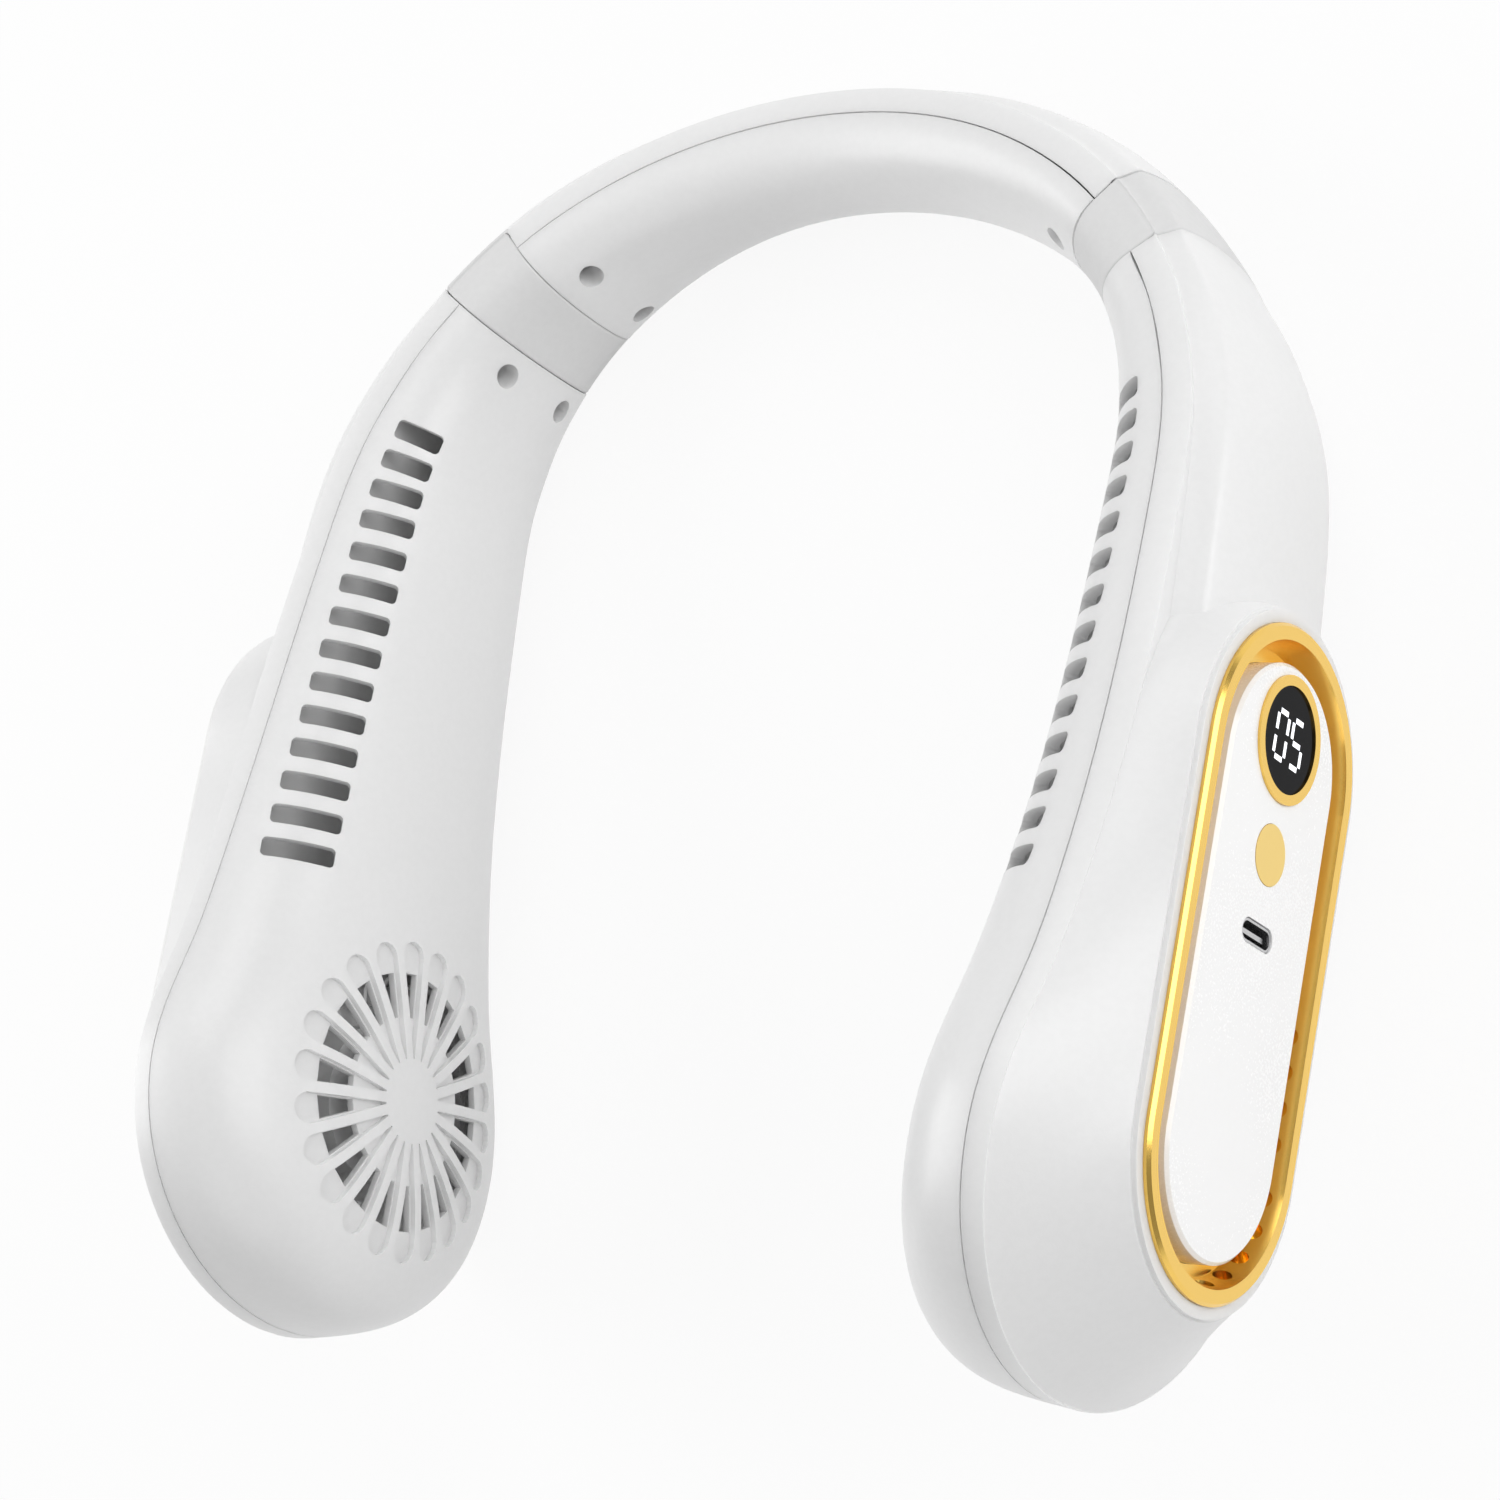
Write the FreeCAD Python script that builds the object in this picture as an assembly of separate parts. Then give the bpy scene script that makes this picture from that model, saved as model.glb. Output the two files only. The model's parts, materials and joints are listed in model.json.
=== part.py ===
import FreeCAD, Part
import math
import os

# Bladeless fan worn round the neck: a rigid band behind the neck, two hollow arms that hang
# forward over the collar bones, and a soft sleeve over a hinge where each arm meets the band.
# Built in a working frame with the band's centreline in the XY plane, X to the wearer's right
# arm, Y towards the nape and Z towards the chin, then laid on its rest plane.

# Centreline of one half, from the crown of the band to the tip of an arm
CROWN_RADIUS = 78.0
CROWN_ANGLE = 35.7
SHOULDER_RADIUS = 67.0
SHOULDER_ANGLE = 51.0
ARM_RADIUS = 625.0
BAND_REACH = 57.8
SLEEVE_LENGTH = 12.9
PADDLE_REACH = 203.8
TIP_LENGTH = 33.4

# Half heights of the section, across the arm
CROWN_HALF = 10.4
SLEEVE_HALF = 15.0
ARM_HALF_A = 20.9
ARM_HALF_B = 26.0
ARM_HALF_C = 31.0
PADDLE_HALF = 38.2

# Depth of the rounded inner side and height of the outer ridge, from the parting plane
CROWN_DEPTH = 10.8
SLEEVE_DEPTH = 9.4
ARM_DEPTH_A = 14.3
ARM_DEPTH_B = 16.8
PADDLE_DEPTH = 20.2
CROWN_RISE = 5.2
SLEEVE_RISE = 9.2
SPINE_RISE = 13.2
SPINE_HALF = 20.0
SPINE_FLANK = 2.6
FLANK_WIDTH = 3.0
LIP_STEP = 0.8
STRIP_BAND = 4.0
STRIP_SLEEVE = 4.4
STRIP_ARM = 4.6
STRIP_PADDLE = 3.3
INNER_POWER = 2.3
WALL = 2.0
SLEEVE_WALL = 1.5
SEAM = 0.24

# Raised pod on the outer side: lip, trim ring, channel and centre panel
POD_OUT = 88.8
POD_Y = -52.9
POD_SPLAY = 0.7
POD_LENGTH = 53.5
RING_RADIUS = 21.2
LIP_WIDTH = 1.8
LIP_DROP = 0.6
POD_DEPTH = 5.0
RING_FACE = 2.4
RING_PROUD = 0.4
PANEL_RADIUS = 15.6
PANEL_PLATE = 1.7
RING_HOLE = 2.7
RING_HOLE_PITCH = 5.2

# Controls on the right panel, measured up the arm from the pod's middle
DISPLAY_AT = 31.8
DISPLAY_RADIUS = 9.12
LENS_RADIUS = 7.6
BUTTON_AT = 15.1
BUTTON_RADIUS = 4.35
BUTTON_TRAVEL = 0.4
USB_AT = 3.6
USB_LENGTH = 8.94
USB_HEIGHT = 3.26

# Air openings
VENT_COUNT = 14
VENT_START = 93.6
VENT_PITCH = 5.7
VENT_WIDTH = 3.2
VENT_CORNER = 0.8
GRILLE_SLOTS = 22
GRILLE_HUB = 6.6
GRILLE_OPEN_IN = 13.0
GRILLE_OPEN_OUT = 20.0
GRILLE_RADIUS = 22.6
GRILLE_RIB = 1.6
OPEN_RIB = 2.1
GRILLE_GROOVE = 0.9

# Blower
FAN_BACK = 2.0
IMPELLER_RADIUS = 25.0
IMPELLER_BLADES = 29
SHAFT_RADIUS = 1.0

# Hinge and fasteners
PIN_RADIUS = 1.5
PIVOT_IN = 0.9
KNUCKLE_RADIUS = 3.5
TONGUE_HALF = 4.9
SCREW_RADIUS = 0.95
SCREW_HEAD = 1.8

V = FreeCAD.Vector
ARM_START = BAND_REACH + SLEEVE_LENGTH
HALF_SEAM = SEAM / 2
S1 = CROWN_RADIUS * math.radians(CROWN_ANGLE)
S2 = S1 + SHOULDER_RADIUS * math.radians(SHOULDER_ANGLE)
TIP_REACH = PADDLE_REACH + TIP_LENGTH


def along(s):
    """Point and turned angle of the centreline at path length s from the crown."""
    t = abs(s)
    a = math.radians(CROWN_ANGLE)
    b = a + math.radians(SHOULDER_ANGLE)
    if t <= S1:
        p = t / CROWN_RADIUS
        x, y = CROWN_RADIUS * math.sin(p), CROWN_RADIUS * math.cos(p)
    else:
        cx = (CROWN_RADIUS - SHOULDER_RADIUS) * math.sin(a)
        cy = (CROWN_RADIUS - SHOULDER_RADIUS) * math.cos(a)
        if t <= S2:
            p = a + (t - S1) / SHOULDER_RADIUS
            x, y = cx + SHOULDER_RADIUS * math.sin(p), cy + SHOULDER_RADIUS * math.cos(p)
        else:
            p = b + (t - S2) / ARM_RADIUS
            ox = cx + (SHOULDER_RADIUS - ARM_RADIUS) * math.sin(b)
            oy = cy + (SHOULDER_RADIUS - ARM_RADIUS) * math.cos(b)
            x, y = ox + ARM_RADIUS * math.sin(p), oy + ARM_RADIUS * math.cos(p)
    if s < 0:
        return -x, y, -p
    return x, y, p


def at(s, n, z):
    """Point at path length s, n outward from the centreline and z across it."""
    x, y, p = along(s)
    return V(x + n * math.sin(p), y + n * math.cos(p), z)


def placed(shape, origin, xdir, ydir):
    """Shape moved from its own axes to the given ones."""
    x = V(xdir).normalize()
    y = V(ydir).normalize()
    z = x.cross(y)
    m = FreeCAD.Matrix(x.x, y.x, z.x, origin.x, x.y, y.y, z.y, origin.y,
                       x.z, y.z, z.z, origin.z, 0, 0, 0, 1)
    out = shape.copy()
    out.Placement = FreeCAD.Placement(m).multiply(out.Placement)
    return out


def across(shape, s, n=0.0, z=0.0):
    """Place a shape with x along the path, y across it and z inward, towards the neck."""
    p = along(s)[2]
    return placed(shape, at(s, n, z), V(math.cos(p), -math.sin(p), 0), V(0, 0, 1))


def curve_through(stations, s, flat_start=True, flat_end=True):
    """Smooth monotone curve through (position, value) stations."""
    xs = [q[0] for q in stations]
    ys = [q[1] for q in stations]
    k = len(xs)
    if s <= xs[0]:
        return ys[0]
    if s >= xs[-1]:
        return ys[-1]
    d = [(ys[i + 1] - ys[i]) / (xs[i + 1] - xs[i]) for i in range(k - 1)]
    m = [0.0] * k
    for i in range(1, k - 1):
        if d[i - 1] * d[i] > 0:
            m[i] = 2 * d[i - 1] * d[i] / (d[i - 1] + d[i])
    m[0] = 0.0 if flat_start else d[0]
    m[-1] = 0.0 if flat_end else d[-1]
    for i in range(k - 1):
        if s <= xs[i + 1]:
            w = xs[i + 1] - xs[i]
            t = (s - xs[i]) / w
            return ((2 * t ** 3 - 3 * t * t + 1) * ys[i] + (t ** 3 - 2 * t * t + t) * w * m[i]
                    + (3 * t * t - 2 * t ** 3) * ys[i + 1] + (t ** 3 - t * t) * w * m[i + 1])


def reach(f):
    """Path length at fraction f of the arm, from its start to the paddle's middle."""
    return ARM_START + f * (PADDLE_REACH - ARM_START)


def tip_part(s, inset=0.0):
    """How far past the paddle's middle s is, 0 to 1 at the tip."""
    return min(max((s - PADDLE_REACH) / (TIP_LENGTH - inset), 0.0), 1.0)


def half_height(s, inset=0.0):
    t = abs(s)
    h = curve_through([(0, CROWN_HALF), (BAND_REACH, SLEEVE_HALF), (reach(0.3), ARM_HALF_A),
                       (reach(0.6), ARM_HALF_B), (reach(0.8), ARM_HALF_C),
                       (PADDLE_REACH, PADDLE_HALF)], t) - inset
    return h * math.sqrt(max(1 - tip_part(t, inset) ** 2, 0.0))


def depth(s, inset=0.0):
    t = abs(s)
    b = curve_through([(0, CROWN_DEPTH), (BAND_REACH, SLEEVE_DEPTH), (reach(0.3), ARM_DEPTH_A),
                       (reach(0.6), ARM_DEPTH_B), (PADDLE_REACH, PADDLE_DEPTH)], t) - inset
    return b * max(1 - tip_part(t, inset) ** 3.6, 0.0) ** (1 / 3.6)


def strip(s):
    return curve_through([(0, STRIP_BAND), (BAND_REACH, STRIP_SLEEVE), (reach(0.5), STRIP_ARM),
                          (PADDLE_REACH, STRIP_PADDLE)], abs(s))


def rise(s):
    return curve_through([(0, CROWN_RISE), (BAND_REACH, SLEEVE_RISE), (ARM_START, SLEEVE_RISE),
                          (reach(0.25), SPINE_RISE - 0.2), (reach(0.45), SPINE_RISE)], abs(s))


def eased(t):
    """Smooth rise from 0 to 1."""
    t = min(max(t, 0.0), 1.0)
    return t * t * (3 - 2 * t)


def spine_half(s):
    """Half width of the spine, a little inside the crease until it reaches its full width."""
    h = 0.98 * half_height(s)
    return h - math.log(1 + math.exp(h - SPINE_HALF))


def reach_of(y):
    """Path length at which the arm passes y."""
    low, high = ARM_START, TIP_REACH
    for i in range(50):
        mid = (low + high) / 2
        if along(mid)[1] > y:
            low = mid
        else:
            high = mid
    return low


CAP_TOP, CAP_END = reach_of(POD_Y + POD_LENGTH / 2), reach_of(POD_Y - POD_LENGTH / 2)
SPINE_END = CAP_TOP - RING_RADIUS + 12.0


def ridge(s, z):
    """Height of the outer face at z across the arm: a round back that turns into a spine with a
    short flank on each side, and ends at the pod."""
    t = abs(s)
    h = 0.985 * half_height(t)
    e, r = strip(t), rise(t)
    w = spine_half(t)
    flank = curve_through([(0, 0.25), (BAND_REACH, 0.8 * SPINE_FLANK), (reach(0.15), SPINE_FLANK)], t)
    crown = r - e - flank
    low = flank * eased((w - abs(z)) / min(FLANK_WIDTH, 0.4 * w))
    back = low + crown * max(1 - (abs(z) / w) ** 2.2, 0.0)
    return e + back


def spline(points):
    c = Part.BSplineCurve()
    params = [i / (len(points) - 1) for i in range(len(points))]
    c.interpolate(Points=points, Parameters=params)
    return c.toShape()


def inner_curve(s, inset=0.0, lift=HALF_SEAM, steps=12):
    """Rounded inner half of the section, from its lower edge to its upper edge."""
    h = half_height(s, inset)
    b = depth(s, inset)
    pts = []
    for i in range(-steps, steps + 1):
        a = math.pi / 2 * i / steps
        c = abs(math.cos(a)) ** (2 / INNER_POWER) if abs(i) < steps else 0.0
        z = math.copysign(abs(math.sin(a)) ** (2 / INNER_POWER), a)
        pts.append(at(s, -lift - max(b - lift, 0.5) * c, h * z))
    return pts


def outer_curve(s, steps=16):
    """Outer face of the section, from the upper crease to the lower crease."""
    h = 0.985 * half_height(s)
    pts = []
    for i in range(-steps, steps + 1):
        z = -h * i / steps
        pts.append(at(s, ridge(s, z) if abs(i) < steps else strip(s), z))
    return pts


def spine_curve(s):
    """Outer face of the spine alone, its feet sunk a little into the arm below it."""
    w = spine_half(s)
    k = w - min(FLANK_WIDTH, 0.4 * w)
    half = [k * i / 10 for i in range(1, 11)] + [k + (w - k) * i / 4 for i in range(1, 5)]
    zs = half[::-1] + [0.0] + [-z for z in half]
    return [at(s, ridge(s, z) - 0.3 * (abs(z) / w) ** 8, z) for z in zs]


def hollow_rise(s):
    t = abs(s)
    c = curve_through([(0, CROWN_RISE - WALL - 0.4), (ARM_START, SLEEVE_RISE - WALL - 0.3),
                       (reach(0.2), 7.4), (PADDLE_REACH, 7.4)], t)
    return c * math.sqrt(max(1 - tip_part(t, WALL + 1.0) ** 2, 0.0))


def hollow_curve(s, inset, steps=12):
    """Outer half of the hollow, from its upper edge to its lower edge."""
    h = half_height(s, inset)
    c = hollow_rise(s) - (inset - WALL - 0.3)
    pts = []
    for i in range(-steps, steps + 1):
        a = math.pi / 2 * i / steps
        f = abs(math.cos(a)) ** (2 / 2.2) if abs(i) < steps else 0.0
        z = math.copysign(abs(math.sin(a)) ** (2 / 2.2), a)
        pts.append(at(s, c * f, -h * z))
    return pts


def wire(*runs):
    """Closed wire of splines and straight runs between the given point lists."""
    edges = []
    for i, run in enumerate(runs):
        if len(run) > 2:
            edges.append(spline(run))
        nxt = runs[(i + 1) % len(runs)]
        if (run[-1] - nxt[0]).Length > 1e-6:
            edges.append(Part.makeLine(run[-1], nxt[0]))
    return Part.Wire(edges)


def loft(wires):
    return Part.makeLoft(wires, True, False)


def arm_stations(inset=0.0, first=None):
    start = ARM_START if first is None else first
    out = [start + (PADDLE_REACH - start) * f for f in
           (0, 0.045, 0.1, 0.16, 0.22, 0.29, 0.36, 0.43, 0.5, 0.57, 0.64, 0.71, 0.78, 0.84, 0.9,
            0.95, 1.0)]
    for a in (11, 22, 33, 43, 53, 62, 70, 77, 82.5, 86.5):
        out.append(PADDLE_REACH + (TIP_LENGTH - inset) * math.sin(math.radians(a)))
    return out


def band_stations(reach_out):
    return [reach_out * f for f in (-1, -0.86, -0.72, -0.57, -0.42, -0.28, -0.14, 0, 0.14, 0.28,
                                    0.42, 0.57, 0.72, 0.86, 1)]


def inner_form(stations, inset=0.0):
    return loft([wire(inner_curve(s, inset)) for s in stations])


def outer_form(stations):
    ws = []
    for s in stations:
        h = half_height(s)
        ws.append(wire([at(s, HALF_SEAM, h)], outer_curve(s), [at(s, HALF_SEAM, -h)]))
    return loft(ws)


def inner_hollow(stations, inset):
    ws = []
    for s in stations:
        h = half_height(s, inset)
        ws.append(wire(inner_curve(s, inset, 0.0), [at(s, 1.0, h)], [at(s, 1.0, -h)]))
    return loft(ws)


def outer_hollow(stations, inset):
    ws = []
    for s in stations:
        h = half_height(s, inset)
        ws.append(wire([at(s, -1.0, h)], hollow_curve(s, inset), [at(s, -1.0, -h)]))
    return loft(ws)


def plug_form(s_from, s_to, inset):
    """Solid that fills the hollow between two places on the path."""
    ws = []
    for s in (s_from, (s_from + s_to) / 2, s_to):
        ws.append(wire(inner_curve(s, inset, 0.0), hollow_curve(s, inset)))
    return loft(ws)


def cylinder(radius, z0, z1, x=0.0, y=0.0):
    return Part.makeCylinder(radius, z1 - z0, V(x, y, z0), V(0, 0, 1))


def tube(outer, inner, z0, z1):
    return cylinder(outer, z0, z1).cut(cylinder(inner, z0 - 1, z1 + 1))


def block(x0, x1, y0, y1, z0, z1):
    return Part.makeBox(x1 - x0, y1 - y0, z1 - z0, V(x0, y0, z0))


def stadium_wire(radius, length, z, x=0.0):
    """Stadium with its straight sides along x."""
    k = length / 2
    a = Part.Arc(V(x + k, -radius, z), V(x + k + radius, 0, z), V(x + k, radius, z)).toShape()
    b = Part.makeLine(V(x + k, radius, z), V(x - k, radius, z))
    c = Part.Arc(V(x - k, radius, z), V(x - k - radius, 0, z), V(x - k, -radius, z)).toShape()
    d = Part.makeLine(V(x - k, -radius, z), V(x + k, -radius, z))
    return Part.Wire([a, b, c, d])


def stadium(radius, length, z0, z1, x=0.0, radius_top=None):
    """Stadium prism from z0 to z1, or a tapered one with its own radius at the top."""
    if radius_top is None:
        return Part.Face(stadium_wire(radius, length, z0, x)).extrude(V(0, 0, z1 - z0))
    return Part.makeLoft([stadium_wire(radius, length, z0, x),
                          stadium_wire(radius_top, length, z1, x)], True, True)


def rounded_block(length, width, corner, z0, z1):
    """Prism of a rectangle with rounded corners, its length along x."""
    bits = []
    for sx, sy, a in ((1, 1, 0), (-1, 1, 90), (-1, -1, 180), (1, -1, 270)):
        c = V(sx * (length / 2 - corner), sy * (width / 2 - corner), z0)
        ends = [c + V(math.cos(math.radians(a + d)), math.sin(math.radians(a + d)), 0) * corner
                for d in (0, 45, 90)]
        bits.append(ends)
    edges = []
    for i, ends in enumerate(bits):
        edges.append(Part.Arc(*ends).toShape())
        edges.append(Part.makeLine(ends[2], bits[(i + 1) % 4][0]))
    return Part.Face(Part.Wire(edges)).extrude(V(0, 0, z1 - z0))


def polygon_prism(points, z0, z1):
    w = Part.makePolygon([V(x, y, z0) for x, y in points] + [V(points[0][0], points[0][1], z0)])
    return Part.Face(w).extrude(V(0, 0, z1 - z0))


def fused(shapes):
    return shapes[0].multiFuse(shapes[1:]).removeSplitter()


def turned(shape, angle):
    return shape.rotated(V(0, 0, 0), V(0, 0, 1), angle)


# Pod frame: x up the arm, y across it (towards the chin), z outward from the ring's face
SPLAY = math.radians(POD_SPLAY)
POD_ORIGIN = V(POD_OUT, POD_Y, 0)
POD_UP = V(math.sin(SPLAY), math.cos(SPLAY), 0)


def on_pod(shape):
    return placed(shape, POD_ORIGIN, POD_UP, V(0, 0, 1))


# Screw places: path length, height across the arm and the depth that the head seats at
ARM_SCREW_AT = ARM_START + 5.0
BAND_SCREW_AT = BAND_REACH - 6.3
SCREW_Z = 0.5 * SLEEVE_HALF
SEAT = 3.4


def screw_tools(s, z):
    boss_in = across(cylinder(3.1, HALF_SEAM, 30), s, 0, z)
    boss_out = across(cylinder(3.1, -30, -HALF_SEAM), s, 0, z)
    bore = across(cylinder(SCREW_HEAD + 0.15, SEAT, 30).fuse(cylinder(1.05, -0.5, SEAT)), s, 0, z)
    pilot = across(cylinder(SCREW_RADIUS + 0.02, -4.4, 0.5), s, 0, z)
    return boss_in, boss_out, bore, pilot


def screw(s, z):
    body = cylinder(SCREW_HEAD, SEAT, SEAT + 1.5).fuse(cylinder(SCREW_RADIUS, -4.2, SEAT))
    cross = block(-1.1, 1.1, -0.25, 0.25, SEAT + 0.8, SEAT + 2).fuse(
        block(-0.25, 0.25, -1.1, 1.1, SEAT + 0.8, SEAT + 2))
    return across(body.cut(cross), s, 0, z)


nodes = {}

# Arm covers
stations = arm_stations()
hollow_stations = arm_stations(WALL, ARM_START - 1.0)
outer_stations = arm_stations(WALL + 1.0, ARM_START - 1.0)
arm_tools = [screw_tools(ARM_SCREW_AT, z) for z in (-SCREW_Z, SCREW_Z)]

inner = inner_form(stations)
hollow = inner_hollow(hollow_stations, WALL)
for boss_in, boss_out, bore, pilot in arm_tools:
    hollow = hollow.cut(boss_in)
inner_shell = inner.cut(hollow)

FAN_S = PADDLE_REACH - FAN_BACK
pitch = 2 * math.pi / GRILLE_SLOTS


def slot_points(r0, r1, rib, cap=False, steps=3):
    """Outline of one grille slot, which keeps the rib beside it equally wide."""
    left, right = [], []
    for i in range(steps + 1):
        r = r0 + (r1 - r0) * i / steps
        w = max(pitch * r - rib, 0.25) / r / 2
        left.append((r * math.cos(w), r * math.sin(w)))
        right.append((r * math.cos(w), -r * math.sin(w)))
    top = []
    if cap:
        x, y = left[-1]
        for i in range(1, 8):
            a = math.pi / 2 - math.pi * i / 8
            top.append((x + y * math.cos(a), y * math.sin(a)))
    return right + top[::-1] + left[::-1]


groove_floor = inner_form(arm_stations(GRILLE_GROOVE), GRILLE_GROOVE)
grooves, openings = [], []
for i in range(GRILLE_SLOTS):
    a = 360.0 * (i + 0.5) / GRILLE_SLOTS
    grooves.append(turned(polygon_prism(slot_points(GRILLE_HUB, GRILLE_RADIUS, GRILLE_RIB, True), 8, 30), a))
    openings.append(turned(polygon_prism(slot_points(GRILLE_OPEN_IN, GRILLE_OPEN_OUT, OPEN_RIB), 8, 30), a))
groove_tool = across(Part.makeCompound(grooves), FAN_S).cut(groove_floor)
open_tool = across(Part.makeCompound(openings), FAN_S)

vents = []
for i in range(VENT_COUNT):
    s = VENT_START + VENT_PITCH * i
    h, b = half_height(s), depth(s)
    ends = []
    for a in (math.radians(41), math.radians(74)):
        ends.append((b * math.cos(a) ** (2 / INNER_POWER), h * math.sin(a) ** (2 / INNER_POWER)))
    (d0, z0), (d1, z1) = ends
    run = math.hypot(d1 - d0, z1 - z0)
    ux, uz = (d1 - d0) / run, (z1 - z0) / run
    slot = rounded_block(run, VENT_WIDTH, VENT_CORNER, -6, 5)
    p = along(s)[2]
    mid = at(s, -(d0 + d1) / 2, (z0 + z1) / 2)
    up_slot = V(-ux * math.sin(p), -ux * math.cos(p), uz)
    vents.append(placed(slot, mid, up_slot, V(-math.cos(p), math.sin(p), 0)))
vent_tool = Part.makeCompound(vents)

inner_cover = inner_shell.cut(groove_tool).cut(open_tool).cut(vent_tool)
for boss_in, boss_out, bore, pilot in arm_tools:
    inner_cover = inner_cover.cut(bore)
nodes["right_arm_inner_cover"] = inner_cover

outer = loft([wire([at(s, HALF_SEAM, half_height(s))], [at(s, strip(s), 0.985 * half_height(s))],
                   [at(s, strip(s), -0.985 * half_height(s))], [at(s, HALF_SEAM, -half_height(s))])
              for s in stations])
spine = loft([wire(spine_curve(ARM_START + (SPINE_END - ARM_START) * i / 9.0)) for i in range(10)])

# Slope from the crease of the arm's outline up to just under the pod's lip
RIM_RADIUS = RING_RADIUS + LIP_WIDTH + 0.4
RIM_LEVEL = -LIP_DROP - LIP_STEP
SLOPE_TOP = CAP_TOP - RING_RADIUS - 5.0
foot_a, foot_b = at(CAP_TOP, 1.2, 0), at(TIP_REACH, 1.0, 0)
foot_normal = V(foot_a.y - foot_b.y, foot_b.x - foot_a.x, 0).normalize()


def slope_places():
    """Places round one half of the pod: path length and height of the crease, and the rim's own."""
    k, out = POD_LENGTH / 2, []
    for i in range(12):
        a = math.radians(90 * i / 12.0)
        s = CAP_TOP - (CAP_TOP - SLOPE_TOP) * math.cos(a)
        out.append((s, math.sin(a) ** 0.6, k + RIM_RADIUS * math.cos(a), RIM_RADIUS * math.sin(a)))
    for i in range(13):
        s = CAP_TOP + (CAP_END - CAP_TOP) * i / 12.0
        out.append((s, 1.0, k - POD_LENGTH * i / 12.0, RIM_RADIUS))
    for i in range(1, 13):
        a = math.radians(90 * i / 12.0)
        s = CAP_END + (TIP_REACH - 0.2 - CAP_END) * math.sin(a)
        out.append((s, 1.0 if i < 12 else 0.0, -k - RIM_RADIUS * math.sin(a), RIM_RADIUS * math.cos(a)))
    return out


places = slope_places()
places += [(s, -share, u, -v) for s, share, u, v in places[-2:0:-1]]
outward = V(math.cos(SPLAY), -math.sin(SPLAY), 0)
feet, creases, rims = [], [], []
for s, share, u, v in places:
    z = share * (0.985 * half_height(s) - 0.12)
    feet.append(at(s if s < PADDLE_REACH else PADDLE_REACH + 0.9 * (s - PADDLE_REACH), 0, 0.85 * z))
    creases.append(at(s, strip(s) - 0.12, z))
    rims.append(POD_ORIGIN + POD_UP * u + V(0, 0, v) + outward * RIM_LEVEL)
feet = [q + foot_normal * (foot_a - q).dot(foot_normal) for q in feet]


def closed_spline(points):
    c = Part.BSplineCurve()
    c.interpolate(Points=points, PeriodicFlag=True)
    return Part.Wire([c.toShape()])


slope = Part.makeLoft([closed_spline(feet), closed_spline(creases), closed_spline(rims)], True, True)
outer = outer.fuse(spine).fuse(slope)
pod_wall = on_pod(stadium(RING_RADIUS + LIP_WIDTH, POD_LENGTH, -8.0, -LIP_DROP))
pocket = on_pod(stadium(RING_RADIUS, POD_LENGTH, -POD_DEPTH, 30.0))
outer_cavity = outer_hollow(outer_stations, WALL + 0.3)
for boss_in, boss_out, bore, pilot in arm_tools:
    outer_cavity = outer_cavity.cut(boss_out)
outer_cover = outer.fuse(pod_wall).cut(pocket).cut(outer_cavity)
for boss_in, boss_out, bore, pilot in arm_tools:
    outer_cover = outer_cover.cut(pilot)
left_outer_cover = outer_cover

# Right arm only: bay for the board under the deck and the opening that its parts stand in
BOARD_TOP = -POD_DEPTH - 1.6
bay = on_pod(block(USB_AT - 10.5, DISPLAY_AT + 9.6, -11.0, 11.0, BOARD_TOP - 5.0, BOARD_TOP))
deck_opening = on_pod(block(USB_AT - 6.6, DISPLAY_AT + 6.2, -7.5, 7.5, BOARD_TOP - 1, -POD_DEPTH + 1))
nodes["right_arm_outer_cover"] = outer_cover.cut(bay).cut(deck_opening)

# Trim ring with its sloping inner wall, channel floor and row of holes
ring = stadium(RING_RADIUS - 0.04, POD_LENGTH, -POD_DEPTH, RING_PROUD - 0.5).fuse(
    stadium(RING_RADIUS - 0.04, POD_LENGTH, RING_PROUD - 0.5, RING_PROUD, 0.0, RING_RADIUS - 0.5))
ring = ring.cut(stadium(RING_RADIUS - RING_FACE - 1.1, POD_LENGTH, -POD_DEPTH + 1.0,
                        RING_PROUD + 0.01, 0.0, RING_RADIUS - RING_FACE))
ring = ring.cut(stadium(PANEL_RADIUS + 0.05, POD_LENGTH, -POD_DEPTH - 1, 1))
wall_radius = RING_RADIUS - RING_FACE - 0.6
hole_places = []
for k in range(4):
    for side in (-1, 1):
        hole_places.append((-6.0 - RING_HOLE_PITCH * k, side * (wall_radius - 1.5), 90 * side))
arc_count = int(round(math.pi * wall_radius / RING_HOLE_PITCH))
for k in range(arc_count):
    a = 90 + 180 * (k + 0.5) / arc_count
    hole_places.append((-POD_LENGTH / 2 + (wall_radius - 1.5) * math.cos(math.radians(a)),
                        (wall_radius - 1.5) * math.sin(math.radians(a)), a))
holes = []
for x, y, a in hole_places:
    d = V(math.cos(math.radians(a)), math.sin(math.radians(a)), 0)
    holes.append(Part.makeCylinder(RING_HOLE / 2, 3.4, V(x, y, -POD_DEPTH / 2 + 0.1), d))
ring = ring.cut(Part.makeCompound(holes))
nodes["right_trim_ring"] = on_pod(ring)

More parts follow.
